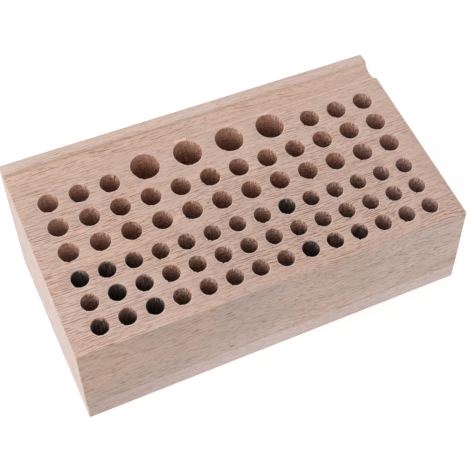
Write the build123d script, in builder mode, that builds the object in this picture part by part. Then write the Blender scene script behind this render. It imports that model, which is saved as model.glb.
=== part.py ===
"""Wooden tool holder block, in millimetres.

A beech wedge stands on a flat base board. Its sloping top carries rows of round sockets in
three sizes, drilled straight down through the wedge, and the base board closes them from
below. A round-bottomed groove runs the full length of the top, near the back edge.

Frame: +Z up, X along the length, -Y at the low front, origin at the centre of the underside.
"""

import os
from math import atan2, cos, hypot, sin

from build123d import *

# Outside of the block
block_length = 200.0
block_depth = 108.0
front_height = 48.0
back_height = 71.0
base_thickness = 10.0

# Groove along the top, measured along the slope
groove_radius = 7.0
groove_sink = 3.4
groove_from_back = 13.0

# Sockets
small_diameter = 8.5
medium_diameter = 10.0
large_diameter = 14.5
small_columns = 14
small_rows = 3
medium_columns = 12
medium_rows = 3
side_columns = 3
large_count = 4

# Places of the sockets, measured level along the base
end_margin = 14.9
front_row_inset = 10.2
field_gap = 1.5
groove_to_large_row = 14.1
large_set_back = 2.9
large_shift = -1.0

# Eased edges
front_edge_radius = 1.2
back_edge_radius = 2.4
groove_front_radius = 1.2
groove_back_radius = 1.6
corner_bevel = 0.5
foot_chamfer = 0.6

# The slope and the points of the side profile, as (Y, Z)
front_face = -block_depth / 2
back_face = block_depth / 2
slope_rise = back_height - front_height
slope_angle = atan2(slope_rise, block_depth)
slope_length = hypot(slope_rise, block_depth)


def on_slope(along, above=0.0):
    """A profile point so far up the slope from its front edge, and so far above its surface."""
    return (
        front_face + along * cos(slope_angle) - above * sin(slope_angle),
        front_height + along * sin(slope_angle) + above * cos(slope_angle),
    )


groove_centre = on_slope(slope_length - groove_from_back, groove_radius - groove_sink)
groove_y = on_slope(slope_length - groove_from_back)[0]

# Columns: the small and the medium rows span the same length
column_span = block_length - 2 * end_margin
small_pitch = column_span / (small_columns - 1)
medium_pitch = column_span / (medium_columns - 1)

# Rows: from front to back, with an equal web of wood between neighbours
front_row_y = front_face + front_row_inset
large_row_y = groove_y - groove_to_large_row
back_row_y = large_row_y - large_set_back
small_to_medium = (small_diameter + medium_diameter) / 2
wood_taken = (small_rows - 1) * small_diameter + small_to_medium + (medium_rows - 1) * medium_diameter
row_web = (back_row_y - front_row_y - wood_taken - field_gap) / (small_rows + medium_rows - 1)
small_row_pitch = small_diameter + row_web
medium_row_pitch = medium_diameter + row_web
small_field_y = front_row_y + small_row_pitch * (small_rows - 1) / 2
full_medium_rows = medium_rows - 1
medium_field_y = back_row_y - medium_row_pitch * (full_medium_rows + 1) / 2

# The back row: medium sockets at each end, and the large ones shared out evenly between them
side_group_x = (column_span - (side_columns - 1) * medium_pitch) / 2
inner_side_x = column_span / 2 - (side_columns - 1) * medium_pitch
large_web = (2 * inner_side_x - medium_diameter - large_count * large_diameter) / (large_count + 1)
large_pitch = large_diameter + large_web


def top_corner(profile, index):
    """The sloping side's corners of a profile, counted from the front."""
    corners = profile.vertices().filter_by(lambda v: v.Y > base_thickness + corner_bevel)
    return corners.sort_by(Axis.X)[index]


with BuildPart() as drilled_block:
    # Side profile: a wedge with the groove, its long edges eased
    with BuildSketch(Plane.YZ) as side_profile:
        with BuildLine():
            Polyline(
                (front_face, base_thickness),
                (front_face, front_height),
                (back_face, back_height),
                (back_face, base_thickness),
                close=True,
            )
        make_face()
        with Locations(groove_centre):
            Circle(groove_radius, mode=Mode.SUBTRACT)
        fillet(top_corner(side_profile, 3), back_edge_radius)
        fillet(top_corner(side_profile, 2), groove_back_radius)
        fillet(top_corner(side_profile, 1), groove_front_radius)
        fillet(top_corner(side_profile, 0), front_edge_radius)
    extrude(amount=block_length / 2, both=True)

    # Upright corners; the bevel carries on over the top of each end
    chamfer(drilled_block.edges().filter_by(Axis.Z), corner_bevel)

    # Sockets, drilled straight down
    with BuildSketch(Plane.XY.offset(base_thickness)) as sockets:
        with Locations((0, small_field_y)):
            with GridLocations(small_pitch, small_row_pitch, small_columns, small_rows):
                Circle(small_diameter / 2)
        with Locations((0, medium_field_y)):
            with GridLocations(medium_pitch, medium_row_pitch, medium_columns, full_medium_rows):
                Circle(medium_diameter / 2)
        with Locations((-side_group_x, back_row_y), (side_group_x, back_row_y)):
            with GridLocations(medium_pitch, medium_row_pitch, side_columns, 1):
                Circle(medium_diameter / 2)
        with Locations((large_shift, large_row_y)):
            with GridLocations(large_pitch, large_diameter, large_count, 1):
                Circle(large_diameter / 2)
    extrude(amount=back_height, mode=Mode.SUBTRACT)

with BuildPart() as base_board:
    with BuildSketch(Plane.XY):
        Rectangle(block_length, block_depth)
    extrude(amount=base_thickness)
    chamfer(base_board.edges().filter_by(Axis.Z), corner_bevel)
    chamfer(base_board.faces().sort_by(Axis.Z)[0].edges(), foot_chamfer)

os.makedirs("parts", exist_ok=True)
drilled_block.part.label = "drilled_block"
base_board.part.label = "base_board"
for piece in (drilled_block.part, base_board.part):
    export_step(piece, f"parts/{piece.label}.step")
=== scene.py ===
"""Looks of the wooden tool holder block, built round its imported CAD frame. All lengths in the
mesh code are millimetres; they turn into metres when a mesh is made."""

import math

import bpy
import numpy as np
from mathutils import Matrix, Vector


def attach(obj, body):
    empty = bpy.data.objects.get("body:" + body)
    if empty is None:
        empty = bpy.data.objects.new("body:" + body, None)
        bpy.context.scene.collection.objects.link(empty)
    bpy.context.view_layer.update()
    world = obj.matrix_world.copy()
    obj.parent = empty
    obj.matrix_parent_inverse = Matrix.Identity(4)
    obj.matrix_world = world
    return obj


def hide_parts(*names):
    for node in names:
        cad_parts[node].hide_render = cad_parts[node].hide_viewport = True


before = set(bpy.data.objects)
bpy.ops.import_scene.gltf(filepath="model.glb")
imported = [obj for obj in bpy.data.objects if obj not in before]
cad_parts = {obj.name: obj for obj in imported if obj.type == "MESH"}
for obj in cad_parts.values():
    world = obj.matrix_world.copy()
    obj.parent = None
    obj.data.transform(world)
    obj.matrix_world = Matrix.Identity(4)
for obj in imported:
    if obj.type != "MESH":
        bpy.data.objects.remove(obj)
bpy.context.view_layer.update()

MM = 0.001

# The block's sizes, as in the CAD source
LENGTH = 200.0
DEPTH = 108.0
FRONT_HEIGHT = 48.0
BACK_HEIGHT = 71.0
BASE_TOP = 10.0
GROOVE_RADIUS = 7.0
GROOVE_SINK = 3.4
GROOVE_FROM_BACK = 13.0
FRONT_EDGE = 1.2
BACK_EDGE = 2.4
GROOVE_FRONT_EDGE = 1.2
GROOVE_BACK_EDGE = 1.6
END_EDGE = 0.5
FOOT_EDGE = 0.2

# Length of the steps along straight runs, and the angle in degrees that shows as an edge
STEP = 6.5
SHARP_ANGLE = 28

SLOPE = math.atan2(BACK_HEIGHT - FRONT_HEIGHT, DEPTH)
SLOPE_LENGTH = math.hypot(BACK_HEIGHT - FRONT_HEIGHT, DEPTH)
UP_SLOPE = np.array([math.cos(SLOPE), math.sin(SLOPE)])
OFF_SLOPE = np.array([-math.sin(SLOPE), math.cos(SLOPE)])
FRONT_TOP = np.array([-DEPTH / 2, FRONT_HEIGHT])
BACK_TOP = np.array([DEPTH / 2, BACK_HEIGHT])


def on_slope(along, above=0.0):
    """A point (y, z) of the side profile, so far up the slope and so far above it."""
    return FRONT_TOP + along * UP_SLOPE + above * OFF_SLOPE


def slope_height(y):
    """Height of the sloping surface at a level place."""
    return FRONT_HEIGHT + (y + DEPTH / 2) * math.tan(SLOPE)


# The side profile


def arc(centre, radius, start, end, count):
    """Points on a circle from one point on it to another, the short way round."""
    first = math.atan2(*(start - centre)[::-1])
    turn = math.atan2(*(end - centre)[::-1]) - first
    turn = (turn + math.pi) % (2 * math.pi) - math.pi
    steps = first + turn * np.linspace(0, 1, count)
    return [centre + radius * np.array([math.cos(t), math.sin(t)]) for t in steps]


def rounded_corner(corner, toward, onward, radius, count):
    """The arc that rounds a corner between two straight lines that leave it in these directions."""
    half = math.acos(float(np.dot(toward, onward))) / 2
    middle = (toward + onward) / np.linalg.norm(toward + onward)
    reach = radius / math.tan(half)
    centre = corner + middle * radius / math.sin(half)
    return arc(centre, radius, corner + toward * reach, corner + onward * reach, count)


def groove_points(count):
    """The groove with both its eased edges, from the front to the back."""
    along = SLOPE_LENGTH - GROOVE_FROM_BACK
    rise = GROOVE_RADIUS - GROOVE_SINK
    middle = on_slope(along, rise)
    ends = []
    for side, edge in ((-1, GROOVE_FRONT_EDGE), (1, GROOVE_BACK_EDGE)):
        aside = math.sqrt((GROOVE_RADIUS + edge) ** 2 - (rise + edge) ** 2)
        centre = on_slope(along + side * aside, -edge)
        flat = on_slope(along + side * aside)
        touch = middle + (centre - middle) * GROOVE_RADIUS / (GROOVE_RADIUS + edge)
        ends.append(arc(centre, edge, flat, touch, count // 3))
    bottom = arc(middle, GROOVE_RADIUS, ends[0][-1], ends[1][-1], count)
    return ends[0] + bottom[1:-1] + ends[1][::-1]


def joined(parts):
    """The parts one after another, with the straight runs between them cut into short steps."""
    points = list(parts[0])
    for part in parts[1:]:
        steps = math.ceil(np.linalg.norm(part[0] - points[-1]) / STEP)
        points += [points[-1] + (part[0] - points[-1]) * i / steps for i in range(1, steps)]
        points += list(part)
    return points


def side_profile():
    """The closed outline of the wedge as (y, z), from the foot of the front over the top."""
    down = np.array([0.0, -1.0])
    foot = np.array([DEPTH / 2, BASE_TOP])
    parts = [
        [foot * (-1, 1) + (FOOT_EDGE, 0), foot * (-1, 1) + (0, FOOT_EDGE)],
        rounded_corner(FRONT_TOP, down, UP_SLOPE, FRONT_EDGE, 11),
        groove_points(28),
        rounded_corner(BACK_TOP, -UP_SLOPE, down, BACK_EDGE, 13),
        [foot + (0, FOOT_EDGE), foot - (FOOT_EDGE, 0)],
    ]
    return np.array(joined(parts))


def inset(outline, amount):
    """The outline moved inwards, with its two foot points kept on the glue line."""
    before = outline - np.roll(outline, 1, 0)
    after = np.roll(outline, -1, 0) - outline
    normals = []
    for edge in (before, after):
        unit = edge / np.linalg.norm(edge, axis=1, keepdims=True)
        normals.append(np.stack([unit[:, 1], -unit[:, 0]], 1))
    middle = normals[0] + normals[1]
    middle /= (middle * normals[1]).sum(1, keepdims=True)
    moved = outline + amount * middle
    moved[0] = outline[0] + (amount, 0)
    moved[-1] = outline[-1] - (amount, 0)
    return moved


def new_object(name, points, faces):
    """A mesh object from points in millimetres."""
    mesh = bpy.data.meshes.new(name)
    mesh.from_pydata((np.asarray(points) * MM).tolist(), [], faces)
    mesh.validate()
    thing = bpy.data.objects.new(name, mesh)
    bpy.context.scene.collection.objects.link(thing)
    return thing


def wedge():
    """The solid wedge before drilling, its end edges eased."""
    outline = side_profile()
    turns = np.radians(np.linspace(0, 90, 6))
    reach = LENGTH / 2 - END_EDGE + END_EDGE * np.sin(turns)
    amount = END_EDGE - END_EDGE * np.cos(turns)
    stations = [(-x, a) for x, a in zip(reach[::-1], amount[::-1])]
    inner = np.linspace(-reach[0], reach[0], round(2 * reach[0] / STEP) + 1)[1:-1]
    stations += [(x, 0.0) for x in inner]
    stations += list(zip(reach, amount))
    points = []
    for x, a in stations:
        points += [(x, y, z) for y, z in inset(outline, a)]
    n = len(outline)
    last = (len(stations) - 1) * n
    faces = []
    for s in range(len(stations) - 1):
        for i in range(n):
            j = (i + 1) % n
            faces.append((s * n + i, s * n + j, (s + 1) * n + j, (s + 1) * n + i))
    faces += [tuple(range(n))[::-1], tuple(range(last, last + n))]
    return new_object("wedge", points, faces)


# The sockets

SMALL, MEDIUM, LARGE = 8.5, 10.0, 14.5
SMALL_COLUMNS, MEDIUM_COLUMNS = 14, 12
SMALL_ROWS, FULL_MEDIUM_ROWS = 3, 2
SIDE_COLUMNS, LARGE_COUNT = 3, 4
END_MARGIN = 14.9
FRONT_ROW_INSET = 10.2
FIELD_GAP = 1.5
GROOVE_TO_LARGE_ROW = 14.1
LARGE_SET_BACK = 2.9
LARGE_SHIFT = -1.0

FRONT_ROW = -DEPTH / 2 + FRONT_ROW_INSET
GROOVE_Y = float(on_slope(SLOPE_LENGTH - GROOVE_FROM_BACK)[0])
LARGE_ROW = GROOVE_Y - GROOVE_TO_LARGE_ROW
BACK_ROW = LARGE_ROW - LARGE_SET_BACK
BACK_ROW_NUMBER = SMALL_ROWS + FULL_MEDIUM_ROWS

# The web of wood between two rows
WOOD = BACK_ROW - FRONT_ROW - (SMALL_ROWS - 1) * SMALL - (SMALL + MEDIUM) / 2
WEB = (WOOD - FULL_MEDIUM_ROWS * MEDIUM - FIELD_GAP) / BACK_ROW_NUMBER


def socket_places():
    """Every socket as (row from the front, number from the left, x, y, diameter)."""
    span = LENGTH - 2 * END_MARGIN
    small_x = np.linspace(-span / 2, span / 2, SMALL_COLUMNS)
    medium_x = np.linspace(-span / 2, span / 2, MEDIUM_COLUMNS)
    found = []
    for row in range(SMALL_ROWS):
        y = FRONT_ROW + row * (SMALL + WEB)
        found += [(row, i, x, y, SMALL) for i, x in enumerate(small_x)]
    for row in range(FULL_MEDIUM_ROWS):
        y = BACK_ROW - (FULL_MEDIUM_ROWS - row) * (MEDIUM + WEB)
        found += [(SMALL_ROWS + row, i, x, y, MEDIUM) for i, x in enumerate(medium_x)]

    # the back row: medium sockets at each end, and the large ones shared out between them
    ends = list(medium_x[:SIDE_COLUMNS]) + list(medium_x[-SIDE_COLUMNS:])
    found += [(BACK_ROW_NUMBER, i, x, BACK_ROW, MEDIUM) for i, x in enumerate(ends)]
    inner = medium_x[-SIDE_COLUMNS]
    web = (2 * inner - MEDIUM - LARGE_COUNT * LARGE) / (LARGE_COUNT + 1)
    for i in range(LARGE_COUNT):
        x = LARGE_SHIFT + (i - (LARGE_COUNT - 1) / 2) * (LARGE + web)
        found.append((BACK_ROW_NUMBER + 1, i, x, LARGE_ROW, LARGE))
    return found


# Groups of splinters: (angle round the mouth, the most there can be, size, scatter of the angle).
# The drill lifts the fibres mostly on two opposite sides of a mouth.
SPLINTERS = (
    (4.1, 3, 0.75, 0.3),
    (4.2, 7, 0.3, 0.6),
    (0.8, 5, 0.4, 0.4),
    (2.7, 1, 0.3, 0.3),
    (5.7, 1, 0.3, 0.3),
)
WAVES = (3, 7, 12, 19, 31)

# Points round a mouth, how far its wall lies inside the bore, how wide its rim is worn, and how
# far the fine waves move the two
MOUTH_POINTS = {SMALL: 144, MEDIUM: 144, LARGE: 200}
WALL_INSET, WALL_WAVE = 0.03, 0.025
WEAR, WEAR_WAVE = 0.36, 0.06


def chips(rng, theta):
    """Round a mouth's rim: how far splinters have broken out in millimetres, and fine waves."""
    torn = np.zeros_like(theta)
    for place, most, size, scatter in SPLINTERS:
        for _ in range(rng.integers(0, most + 1)):
            at = place + rng.normal(0, scatter)
            wide = rng.uniform(0.04, 0.1)
            far = size * rng.uniform(0.25, 1.1)
            away = (theta - at + math.pi) % (2 * math.pi) - math.pi
            torn = np.maximum(torn, far * np.exp(-np.abs(away / wide) ** 1.5))
    fine = sum(
        rng.uniform(0.5, 1) * np.sin(k * theta + rng.uniform(0, 6.28)) / k**0.6 for k in WAVES
    )
    return torn, fine


def cutter(rng, x, y, diameter):
    """The space of one socket: straight down, with a slightly worn and splintered mouth."""
    count = MOUTH_POINTS[diameter]
    theta = np.linspace(0, 2 * math.pi, count, endpoint=False)
    torn, fine = chips(rng, theta)
    bore = np.full(count, diameter / 2)
    wall = diameter / 2 - WALL_INSET + WALL_WAVE * fine
    worn = WEAR + WEAR_WAVE * fine
    mouth = wall + 1.1 * worn + torn
    # rings as (height over the sloping surface, radius); the first is below the wedge, and the
    # last but one is a little over the surface, so that no ring lies on it
    rings = [
        (None, bore),
        (np.full(count, -4.5), bore),
        (-0.9 - 1.6 * torn, wall),
        (-0.16 - 0.7 * torn, wall + 0.25 * torn),
        (-0.05 - 0.1 * torn, wall + 0.5 * worn + 0.8 * torn),
        (np.full(count, 0.03), mouth),
        (np.full(count, 1.0), mouth + 0.5),
    ]
    points, faces = [], []
    for height, out in rings:
        px, py = x + out * np.cos(theta), y + out * np.sin(theta)
        pz = np.full(count, BASE_TOP - 0.5) if height is None else slope_height(py) + height
        points += list(zip(px, py, pz))
    for r in range(len(rings) - 1):
        for i in range(count):
            j = (i + 1) % count
            low, high = r * count, (r + 1) * count
            faces.append((low + i, low + j, high + j, high + i))
    faces.append(tuple(range(count))[::-1])
    top = (len(rings) - 1) * count
    faces.append(tuple(range(top, top + count)))
    return points, faces


def all_cutters():
    """The spaces of all the sockets as one object, each with splinters of its own."""
    points, faces = [], []
    for row, number, x, y, diameter in socket_places():
        rng = np.random.default_rng(1000 * (row + 1) + number)
        more, around = cutter(rng, x, y, diameter)
        faces += [tuple(len(points) + i for i in f) for f in around]
        points += more
    return new_object("cutters", points, faces)


def drilled(blank, tool):
    """The blank with the tool taken away, as a new mesh."""
    cut = blank.modifiers.new("drill", "BOOLEAN")
    cut.operation = "DIFFERENCE"
    cut.solver = "MANIFOLD"
    cut.object = tool
    bpy.context.view_layer.update()
    graph = bpy.context.evaluated_depsgraph_get()
    mesh = bpy.data.meshes.new_from_object(blank.evaluated_get(graph))
    for thing in (blank, tool):
        bpy.data.objects.remove(thing)
    mesh.shade_smooth()
    mesh.set_sharp_from_angle(angle=math.radians(SHARP_ANGLE))
    return mesh


# Sockets that the drill has scorched: (row from the front, number from the left) to how much
SCORCHED = {
    (2, 0): 0.95, (2, 1): 0.8, (2, 2): 0.52, (2, 8): 0.95, (2, 9): 0.48,
    (1, 1): 1.0, (1, 2): 0.57, (0, 0): 0.57, (0, 1): 0.54, (0, 2): 1.0,
    (0, 8): 0.95, (0, 9): 0.56, (0, 10): 0.55,
}

# The most that the other sockets are scorched
FAINTLY_SCORCHED = 0.12

# How far a mouth reaches beyond its bore at most, and how nearly the normal of a face must point
# off the slope for the face to be part of it
MOUTH_REACH = 1.2
LEVEL_WITH_SLOPE = 0.995


def face_vectors(mesh, name):
    """A vector of every face of the mesh, by its name."""
    values = np.zeros(len(mesh.polygons) * 3)
    mesh.polygons.foreach_get(name, values)
    return values.reshape(-1, 3)


def mark_sockets(mesh):
    """Puts the socket walls in the second material slot, and marks them for their material.

    The marks are the socket's scorching, its own tint, and its width against a medium one."""
    count = len(mesh.polygons)
    centres = face_vectors(mesh, "center") / MM
    normals = face_vectors(mesh, "normal")
    below = slope_height(centres[:, 1]) - centres[:, 2]
    off_plane = np.abs(normals @ np.array([0, *OFF_SLOPE])) < LEVEL_WITH_SLOPE
    off_foot = np.abs(centres[:, 2] - BASE_TOP) > 0.01
    slot = np.zeros(count, np.int32)
    scorch = np.zeros(count, np.float32)
    tint = np.zeros(count, np.float32)
    wide = np.ones(count, np.float32)
    for row, number, x, y, diameter in socket_places():
        rng = np.random.default_rng(77 * (row + 1) + number)
        away = np.hypot(centres[:, 0] - x, centres[:, 1] - y)
        near = away < diameter / 2 + MOUTH_REACH
        inside = near & off_plane & off_foot & (below > 0.001)
        slot[inside] = 1
        scorch[inside] = SCORCHED.get((row, number), FAINTLY_SCORCHED * rng.random())
        tint[inside] = rng.random()
        wide[inside] = diameter / MEDIUM
    mesh.polygons.foreach_set("material_index", slot)
    for name, values in (("scorch", scorch), ("tint", tint), ("wide", wide)):
        mesh.attributes.new(name, "FLOAT", "FACE").data.foreach_set("value", values)


# Materials


class Graph:
    """Short ways to add shader nodes to one material. Its place on the piece is in millimetres."""

    def __init__(self, name):
        self.material = bpy.data.materials.new(name)
        self.material.use_nodes = True
        self.tree = self.material.node_tree
        self.tree.nodes.clear()
        self.shader = self.add("ShaderNodeBsdfPrincipled")
        out = self.add("ShaderNodeOutputMaterial")
        self.link(self.shader.outputs[0], out.inputs[0])
        coordinates = self.add("ShaderNodeTexCoord").outputs
        self.place = self.vector_math("MULTIPLY", coordinates["Object"], (1 / MM,) * 3)
        self.normal = self.parts(coordinates["Normal"])

    def add(self, kind, **values):
        node = self.tree.nodes.new(kind)
        for key, value in values.items():
            setattr(node, key, value)
        return node

    def link(self, source, target):
        if isinstance(source, (int, float, tuple)):
            target.default_value = source
        else:
            self.tree.links.new(source, target)

    def math(self, operation, *values):
        node = self.add("ShaderNodeMath", operation=operation)
        for value, socket in zip(values, node.inputs):
            self.link(value, socket)
        return node.outputs[0]

    def times(self, product, *factors):
        for factor in factors:
            product = self.math("MULTIPLY", product, factor)
        return product

    def plus(self, total, *more):
        for value in more:
            total = self.math("ADD", total, value)
        return total

    def minus(self, value, less):
        return self.math("SUBTRACT", value, less)

    def vector_math(self, operation, vector, by):
        node = self.add("ShaderNodeVectorMath", operation=operation)
        self.link(vector, node.inputs[0])
        node.inputs[1].default_value = by
        return node.outputs[0]

    def spaced(self, x, y, z, seed=0.0):
        """The place with each axis multiplied by its own number, then moved by the seed."""
        place = self.vector_math("MULTIPLY", self.place, (x, y, z))
        return self.vector_math("ADD", place, (seed,) * 3)

    def parts(self, vector):
        node = self.add("ShaderNodeSeparateXYZ")
        self.link(vector, node.inputs[0])
        return node.outputs

    def vector(self, *values):
        node = self.add("ShaderNodeCombineXYZ")
        for value, socket in zip(values, node.inputs):
            self.link(value, socket)
        return node.outputs[0]

    def noise(self, vector, scale=1.0, detail=2.0, rough=0.5):
        node = self.add("ShaderNodeTexNoise")
        self.link(vector, node.inputs["Vector"])
        node.inputs["Scale"].default_value = scale
        node.inputs["Detail"].default_value = detail
        node.inputs["Roughness"].default_value = rough
        return node.outputs[0]

    def spread(self, value, low, high, to_low=0.0, to_high=1.0):
        """The value carried smoothly from one range to another, and held at both ends."""
        node = self.add("ShaderNodeMapRange", interpolation_type="SMOOTHSTEP")
        for number, name in (
            (value, "Value"),
            (low, "From Min"),
            (high, "From Max"),
            (to_low, "To Min"),
            (to_high, "To Max"),
        ):
            self.link(number, node.inputs[name])
        return node.outputs[0]

    def fade(self, value, low, high, left=0.0):
        """One below a range of the value, falling to what is left above it."""
        return self.spread(value, low, high, 1.0, left)

    def between(self, mask, at_none, at_full):
        """One number where the mask is 0, and another where it is 1."""
        return self.spread(mask, 0.0, 1.0, at_none, at_full)

    def mix(self, factor, a, b, blend="MIX"):
        node = self.add("ShaderNodeMix", data_type="RGBA", blend_type=blend)
        self.link(factor, node.inputs[0])
        self.link(a, node.inputs[6])
        self.link(b, node.inputs[7])
        return node.outputs[2]

    def tinted(self, under, tint):
        """A colour multiplied by another."""
        return self.mix(1.0, under, tint, "MULTIPLY")

    def attribute(self, name):
        return self.add("ShaderNodeAttribute", attribute_name=name).outputs["Fac"]

    def bump(self, height, distance, strength):
        node = self.add("ShaderNodeBump")
        node.inputs["Strength"].default_value = strength
        node.inputs["Distance"].default_value = distance
        self.link(height, node.inputs["Height"])
        return node.outputs[0]


def color(red, green, blue):
    """A picture colour of 0 to 255 as the linear colour that the shader wants."""
    linear = []
    for part in (red, green, blue):
        part /= 255
        linear.append(part / 12.92 if part < 0.04045 else ((part + 0.055) / 1.055) ** 2.4)
    return (*linear, 1.0)


# The middle of the growth rings, as (y, z) far below the block, and how close they lie
PITH = (-33.0, -120.0)
YEARS_PER_MM = 0.42

# One eye in the grain of the top, as (x, y), its size, and how far the rings bulge there
EYE = (55.0, -21.0)
EYE_SIZE = (15.0, 6.0)
EYE_BULGE = 3.2

# a painted warm light, as if bounced up from the floor onto the foot of the sides
PAINTED_BOUNCE_LIGHT = color(243, 207, 193)
FIBRE_TINT = color(184, 152, 138)


def growth_rings(g, x, y, bent_y, bent_z):
    """The late wood of each year, in rings round the pith, which bulge at the eye."""
    off_x = g.math("DIVIDE", g.minus(x, EYE[0]), EYE_SIZE[0])
    off_y = g.math("DIVIDE", g.minus(y, EYE[1]), EYE_SIZE[1])
    bulge = g.plus(g.times(off_x, off_x), g.times(off_y, off_y))
    bulge = g.times(g.math("EXPONENT", g.times(bulge, -1.0)), EYE_BULGE)
    ring_y = g.minus(bent_y, PITH[0])
    ring_z = g.minus(bent_z, PITH[1])
    radius = g.plus(g.times(ring_y, ring_y), g.times(ring_z, ring_z))
    radius = g.plus(g.math("SQRT", radius), bulge)
    year = g.math("FRACT", g.times(radius, YEARS_PER_MM))
    return g.times(g.spread(year, 0.35, 0.92), g.fade(year, 0.92, 1.0))


def end_grain(g, late, tones):
    """The ends: the rings, with pores all over and a few large patches."""
    surface = g.mix(g.times(late, 0.42), tones["end"], tones["end_deep"])
    pores = g.noise(g.place, scale=1.1, detail=3, rough=0.7)
    surface = g.mix(g.spread(pores, 0.42, 0.66, 0.0, 0.5), surface, tones["end_deep"])
    patches = g.noise(g.place, scale=0.09, detail=3, rough=0.6)
    return g.mix(g.spread(patches, 0.35, 0.65, 0.0, 0.4), surface, tones["end_deep"])


def beech(name, tones, dash_depth, shorter, seed):
    """Planed and sanded beech. The grain runs along X; the ends show the growth rings.

    The tones are colours, apart from side_turn, the stretch over which the sides turn from their
    left tone to their own, and the number for the foot of the sides, how much painted warm light,
    as if bounced up from the floor, is mixed in there. The depth is that of the dark dashes and
    flecks, and all marks are shorter by the number given."""
    g = Graph(name)
    x, y, z = g.parts(g.place)
    end = g.spread(g.math("ABSOLUTE", g.normal[0]), 0.6, 0.8)
    upward = g.spread(g.normal[2], 0.25, 0.8)
    lying = g.minus(1.0, upward)

    # the fibres wander as they run along the block, more so towards its right end
    slow = g.noise(g.spaced(0.012, 0.024, 0.024, seed), detail=1)
    sway = g.times(g.minus(slow, 0.5), g.spread(x, -70.0, 45.0, 3.0, 17.0))
    ripple = g.noise(g.spaced(0.06, 0.11, 0.11, seed), detail=1)
    sway = g.plus(sway, g.times(g.minus(ripple, 0.5), 1.2))
    bent_y = g.plus(y, sway)
    bent_z = g.plus(z, sway)

    def along(by_length, by_width, aside=0.0):
        """Noise coordinates: stretched along the fibres, and moved aside across them."""
        length = g.times(x, by_length * shorter)
        across_y = g.plus(bent_y, g.times(upward, aside))
        across_z = g.plus(bent_z, g.times(lying, aside))
        return g.vector(length, g.times(across_y, by_width), g.times(across_z, by_width))

    def strands(by_length, by_width, aside):
        """Fine fibres without broad bands: the noise less itself a little to the side."""
        there = g.noise(along(by_length, by_width, aside), detail=1)
        return g.minus(g.noise(along(by_length, by_width), detail=1), there)

    fibres = g.noise(along(0.06, 0.85), detail=2, rough=0.6)
    hairs = g.plus(strands(0.04, 1.75, 0.34), g.times(strands(0.25, 2.2, 0.3), 0.7))
    bands = g.noise(along(0.008, 0.12), detail=1)
    dashes = g.spread(g.noise(along(0.3, 1.9), detail=1, rough=0.4), 0.6, 0.7)
    dashes = g.times(dashes, g.between(upward, 0.65, 0.6))
    pores = g.spread(g.noise(along(0.5, 4.2), detail=1), 0.6, 0.72)
    flecks = g.spread(g.noise(along(0.17, 3.0, 30.0), detail=0), 0.695, 0.74)
    flecks = g.times(flecks, g.between(upward, 1.2, 0.3))
    patches = g.noise(g.spaced(0.015, 0.025, 0.025), detail=2)
    late = growth_rings(g, x, y, bent_y, bent_z)

    # where things are: the ridge behind the groove, and the steep parts of the groove
    ridge = g.times(g.spread(y, 46.6, 48.6), upward)
    level = g.plus(
        g.times(g.normal[1], -math.sin(SLOPE)),
        g.times(g.normal[2], math.cos(SLOPE)),
    )
    steep = g.times(g.fade(level, 0.72, 0.98), g.spread(y, 34.6, 36.6), g.fade(y, 47.0, 48.5))
    off_steep = g.between(steep, 1.0, 0.4)

    # the groove has a yellower tone of its own, and is painted lighter as well, as painted light
    # that offsets the shade in it; its front flank is paler towards the right end
    right_flank = g.times(g.spread(x, -50.0, 60.0), g.fade(y, 40.0, 42.0))
    groove = g.mix(right_flank, tones["groove"], tones["groove_right"])

    # the sides are deeper at the left and high up, and at the foot a painted warm light stands for
    # the light bounced up from the floor
    turn = g.spread(g.minus(x, g.times(z, 1.5)), *tones["side_turn"])
    side = g.mix(turn, tones["side_left"], tones["side"])
    side = g.mix(g.spread(z, 14.0, 40.0, tones["foot_bounce_light"], 0.0), side, PAINTED_BOUNCE_LIGHT)

    # the pale and the deep tone of the wood
    pale = g.mix(g.times(ridge, 0.9), tones["top"], tones["ridge"])
    pale = g.mix(upward, side, g.mix(steep, pale, groove))
    deep = g.mix(g.times(ridge, 0.75), tones["top_deep"], tones["ridge"])
    deep = g.mix(upward, tones["side_deep"], g.mix(steep, deep, groove))

    # the wood blushes in patches, and the top is deeper at its front, from the middle rightwards
    blush = g.times(g.spread(patches, 0.42, 0.62, 0.0, 0.9), off_steep, g.fade(x, 10.0, 80.0, 0.4))
    pale = g.mix(blush, pale, g.mix(0.5, pale, tones["blush"]))
    shade = g.times(g.spread(x, -60.0, 0.0), g.fade(y, -25.0, 15.0), upward)
    shade = g.times(shade, g.spread(x, 20.0, 80.0, 0.7, 0.45))
    pale = g.mix(shade, pale, deep)
    deep = g.mix(g.times(shade, 0.4), deep, tones["side_deep"])

    # the grain lies between the two
    tone = g.plus(g.times(fibres, 0.55), g.times(bands, 0.45), g.times(hairs, 0.5))
    wood = g.mix(g.spread(tone, 0.22, 0.76), deep, pale)
    wood = g.mix(g.times(g.between(upward, 0.14, 0.2), off_steep, late), wood, deep)

    # dark fibres, which show strongly in some places and hardly in others
    dark = g.tinted(wood, FIBRE_TINT)
    uneven = g.noise(g.spaced(0.025, 0.07, 0.07, seed + 40.0), detail=2, rough=0.6)
    fine = g.times(g.fade(hairs, -0.26, -0.05), g.between(upward, 0.5, 0.95))
    fine = g.times(fine, g.spread(uneven, 0.36, 0.62, 0.5, 1.35), g.fade(y, -10.0, 40.0, 0.6))
    fine = g.times(fine, g.between(ridge, 1.0, 0.5), g.fade(x, 50.0, 85.0, 0.65))
    wood = g.mix(fine, wood, dark)

    # dark marks: short dashes, pores, and long thin flecks, which are mostly on the sides
    for marks, depth in ((dashes, dash_depth), (pores, 0.25), (flecks, dash_depth)):
        wood = g.mix(g.times(marks, depth), wood, dark)

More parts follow.
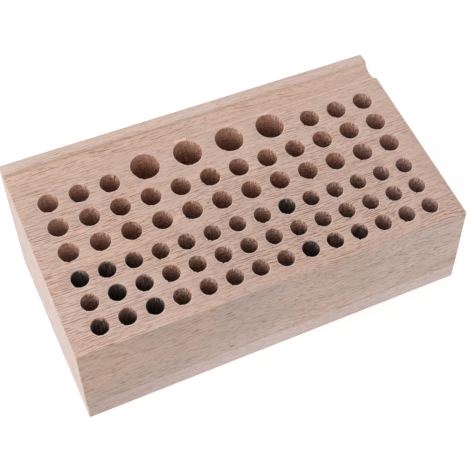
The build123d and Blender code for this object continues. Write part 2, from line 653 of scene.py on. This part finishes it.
    g.link(g.mix(end, wood, end_grain(g, late, tones)), g.shader.inputs["Base Color"])
    g.link(g.spread(fibres, 0.3, 0.7, 0.6, 0.76), g.shader.inputs["Roughness"])
    g.shader.inputs["Specular IOR Level"].default_value = 0.25
    relief = g.plus(g.times(fibres, 0.6), g.times(hairs, 0.5))
    relief = g.minus(g.minus(relief, g.times(dashes, 0.4)), g.times(pores, 0.3))
    g.link(g.bump(relief, 0.00012, 0.6), g.shader.inputs["Normal"])
    return g.material


def bored(name, tones):
    """The socket walls: drilled wood, darker than the faces and scorched here and there.

    The tones are colours; shadow, tinge and mottle are multiplied with what lies under them."""
    g = Graph(name)
    x, y, z = g.parts(g.place)
    scorch, tint, wide = (g.attribute(mark) for mark in ("scorch", "tint", "wide"))
    surface = g.plus(g.times(g.plus(y, DEPTH / 2), math.tan(SLOPE)), FRONT_HEIGHT)
    below = g.minus(surface, z)
    depth = g.math("DIVIDE", below, wide)
    narrow = g.fade(wide, 0.86, 0.95)
    facing = g.plus(g.times(g.normal[0], -0.72), g.times(g.normal[1], -0.69))
    near = g.plus(g.times(g.normal[0], 0.5), g.times(g.normal[1], 0.85))

    streaks = g.noise(g.spaced(1.5, 1.5, 0.16), detail=3, rough=0.65)
    grain = g.noise(g.spaced(0.4, 1.3, 1.3), detail=3, rough=0.75)
    speckle = g.noise(g.place, scale=1.2, detail=3, rough=0.75)
    blotch = g.noise(g.spaced(0.25, 0.25, 0.12), detail=2)
    threads = g.noise(g.spaced(2.6, 2.6, 0.3), detail=1)
    mottle = g.noise(g.place, scale=0.75, detail=3, rough=0.65)

    # the drill cuts across the fibres on the left and right walls, and along them on the others
    across = g.spread(g.math("ABSOLUTE", g.normal[0]), 0.35, 0.85)
    smooth = g.mix(g.spread(grain, 0.38, 0.6), tones["smooth_deep"], tones["smooth"])
    smooth = g.mix(g.spread(streaks, 0.46, 0.64, 0.0, 0.7), smooth, tones["smooth_streak"])
    rough = g.mix(g.spread(speckle, 0.42, 0.56), tones["rough_deep"], tones["rough"])
    rough = g.mix(g.spread(streaks, 0.45, 0.66, 0.0, 0.55), rough, tones["rough_streak"])
    walls = g.mix(across, smooth, rough)
    walls = g.mix(g.times(tint, 0.35), walls, tones["tint"])

    # less light comes back from deep down, and more from the wide mouths
    walls = g.mix(g.spread(depth, 1.0, 9.0), walls, g.tinted(walls, tones["shadow"]))
    open_mouth = g.times(g.spread(wide, 1.1, 1.4, 0.0, 0.22), g.fade(depth, 1.0, 7.0))
    walls = g.mix(open_mouth, walls, tones["pale"])

    # the small sockets are mottled; all are greyer towards the right end, and the wider ones paler
    # towards the left end
    mottled = g.mix(g.spread(mottle, 0.4, 0.6), tones["mottle"], color(255, 255, 255))
    walls = g.tinted(walls, g.mix(narrow, tones["tinge"], mottled))
    greyer = g.times(g.spread(x, 40.0, 90.0, 0.0, 0.13), g.between(narrow, 0.6, 1.0))
    walls = g.mix(greyer, walls, tones["grey"])
    paler = g.times(g.spread(x, -95.0, -50.0, 0.2, 0.0), g.minus(1.0, narrow))
    walls = g.mix(paler, walls, tones["pale"])

    # scorching is strongest away from the mouth, with a few lighter glints in it
    burnt = g.plus(g.times(g.minus(blotch, 0.5), 0.9), g.spread(below, 0.2, 3.0, -0.3, 0.05))
    burnt = g.times(g.spread(g.plus(scorch, burnt), 0.25, 0.75), g.fade(streaks, 0.3, 0.6, 0.86))
    glints = g.times(g.spread(streaks, 0.5, 0.62), g.spread(facing, 0.35, 0.9))
    glints = g.times(glints, g.fade(scorch, 0.7, 0.95, 0.25))
    walls = g.mix(burnt, walls, g.mix(glints, tones["char"], tones["glint"]))

    # torn fibres hang at the back right of each mouth
    fuzz = g.times(g.spread(facing, 0.66, 0.93), g.fade(below, 0.8, 4.2))
    fuzz = g.times(fuzz, g.spread(threads, 0.5, 0.6), g.between(burnt, 0.85, 0.3))
    walls = g.mix(fuzz, walls, tones["torn"])

    # a painted highlight on the worn rim, strongest on the near side
    rim = g.times(g.fade(below, 0.16, 0.3), g.spread(near, -0.5, 0.3, 0.2, 1.0))
    walls = g.mix(rim, walls, tones["rim"])

    g.link(walls, g.shader.inputs["Base Color"])
    g.shader.inputs["Roughness"].default_value = 0.8
    g.shader.inputs["Specular IOR Level"].default_value = 0.2
    relief = g.plus(g.times(grain, 0.5), g.times(streaks, 0.5), g.times(speckle, across, 0.9))
    g.link(g.bump(relief, 0.0004, 0.8), g.shader.inputs["Normal"])
    return g.material


# The pieces

block = bpy.data.objects.new("drilled_block_wood", drilled(wedge(), all_cutters()))
bpy.context.scene.collection.objects.link(block)
block.data.materials.clear()
block_tones = {
    "top": color(214, 188, 176),
    "top_deep": color(202, 172, 158),
    "side": color(214, 199, 193),
    "side_deep": color(182, 162, 150),
    "side_left": color(170, 151, 141),
    "side_turn": (-160.0, 70.0),
    # how much painted bounce light warms the foot of the sides
    "foot_bounce_light": 0.2,
    "end": color(213, 196, 189),
    "end_deep": color(185, 162, 153),
    "blush": color(222, 182, 156),
    "ridge": color(217, 195, 187),
    # the groove's own yellower tone, painted lighter as well to offset the shade in it
    "groove": color(234, 201, 182),
    "groove_right": color(241, 211, 194),
}
wall_tones = {
    "smooth": color(220, 180, 158),
    "smooth_deep": color(152, 104, 86),
    "smooth_streak": color(136, 90, 72),
    "rough": color(232, 192, 170),
    "rough_deep": color(112, 66, 54),
    "rough_streak": color(136, 86, 70),
    "tint": color(160, 112, 92),
    "tinge": color(250, 237, 229),
    "mottle": color(218, 208, 204),
    "shadow": color(204, 194, 190),
    "pale": color(238, 196, 172),
    "grey": color(196, 170, 186),
    "char": color(49, 42, 41),
    "glint": color(150, 118, 104),
    "torn": color(240, 214, 198),
    # the painted highlight of the rims
    "rim": color(255, 232, 222),
}
block.data.materials.append(beech("beech_block", block_tones, 0.7, 1.0, 0.0))
block.data.materials.append(bored("bored_beech", wall_tones))
mark_sockets(block.data)
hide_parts("drilled_block")
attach(block, "root")

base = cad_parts["base_board"]
base.data.materials.clear()
base_tones = {
    "top": color(216, 196, 188),
    "top_deep": color(204, 180, 170),
    "side": color(220, 204, 199),
    "side_deep": color(204, 184, 177),
    "side_left": color(184, 162, 154),
    "side_turn": (-110.0, -30.0),
    "foot_bounce_light": 0.0,
    "end": color(216, 198, 192),
    "end_deep": color(188, 166, 158),
    "blush": color(212, 184, 174),
    "ridge": color(216, 196, 188),
    "groove": color(216, 196, 188),
    "groove_right": color(216, 196, 188),
}
base.data.materials.append(beech("beech_base", base_tones, 0.3, 3.0, 7.0))

# Floor, light and camera, in metres

FLOOR_REACH = 4.0
PAPER = (0.4, 0.4, 0.4, 1)
PAPER_GLOW = 0.7
WORLD_STRENGTH = 0.42

# Lamps by name: place and power. All are turned to the same point.
LAMPS = {
    "left": ((-1.35, 0.0, 0.75), 10.0),
    "front": ((-0.66, -0.88, 0.92), 5.5),
    "overhead": ((0.3, 0.25, 1.4), 5.5),
}
LAMP_SIZE = 1.0
LAMP_AIM = Vector((0, 0, 0.04))

# The photo's camera; its turns are in degrees, its lens in millimetres
CAMERA_PLACE = (-0.13231, -0.29982, 0.38657)
CAMERA_TURN = (42.2421, 0.9342, -24.8758)
CAMERA_LENS = 73.154
CAMERA_FILM = 36.0
CAMERA_REACH = (0.01, 20.0)

corners = ((-1, -1), (1, -1), (1, 1), (-1, 1))
floor_mesh = bpy.data.meshes.new("floor")
floor_points = [(FLOOR_REACH * x, FLOOR_REACH * y, 0) for x, y in corners]
floor_mesh.from_pydata(floor_points, [], [(0, 1, 2, 3)])
floor = bpy.data.objects.new("floor", floor_mesh)
bpy.context.scene.collection.objects.link(floor)
paper = bpy.data.materials.new("pale_paper")
paper.use_nodes = True
paper_shader = paper.node_tree.nodes["Principled BSDF"]
paper_shader.inputs["Base Color"].default_value = PAPER
paper_shader.inputs["Roughness"].default_value = 0.9
paper_shader.inputs["Specular IOR Level"].default_value = 0.1
paper_shader.inputs["Emission Color"].default_value = (1, 1, 1, 1)
paper_shader.inputs["Emission Strength"].default_value = PAPER_GLOW
floor_mesh.materials.append(paper)

world = bpy.data.worlds.new("studio")
world.use_nodes = True
background = world.node_tree.nodes["Background"]
background.inputs["Color"].default_value = (1, 1, 1, 1)
background.inputs["Strength"].default_value = WORLD_STRENGTH
bpy.context.scene.world = world

for name, (place, power) in LAMPS.items():
    light = bpy.data.lights.new(name, "AREA")
    light.shape = "SQUARE"
    light.size = LAMP_SIZE
    light.energy = power
    lamp = bpy.data.objects.new(name, light)
    lamp.location = place
    lamp.rotation_euler = (LAMP_AIM - Vector(place)).to_track_quat("-Z", "Y").to_euler()
    bpy.context.scene.collection.objects.link(lamp)

camera_data = bpy.data.cameras.new("camera")
camera_data.sensor_width = CAMERA_FILM
camera_data.lens = CAMERA_LENS
camera_data.clip_start, camera_data.clip_end = CAMERA_REACH
camera = bpy.data.objects.new("camera", camera_data)
camera.location = CAMERA_PLACE
camera.rotation_euler = [math.radians(a) for a in CAMERA_TURN]
bpy.context.scene.collection.objects.link(camera)
bpy.context.scene.camera = camera
bpy.context.scene.view_settings.view_transform = "Standard"
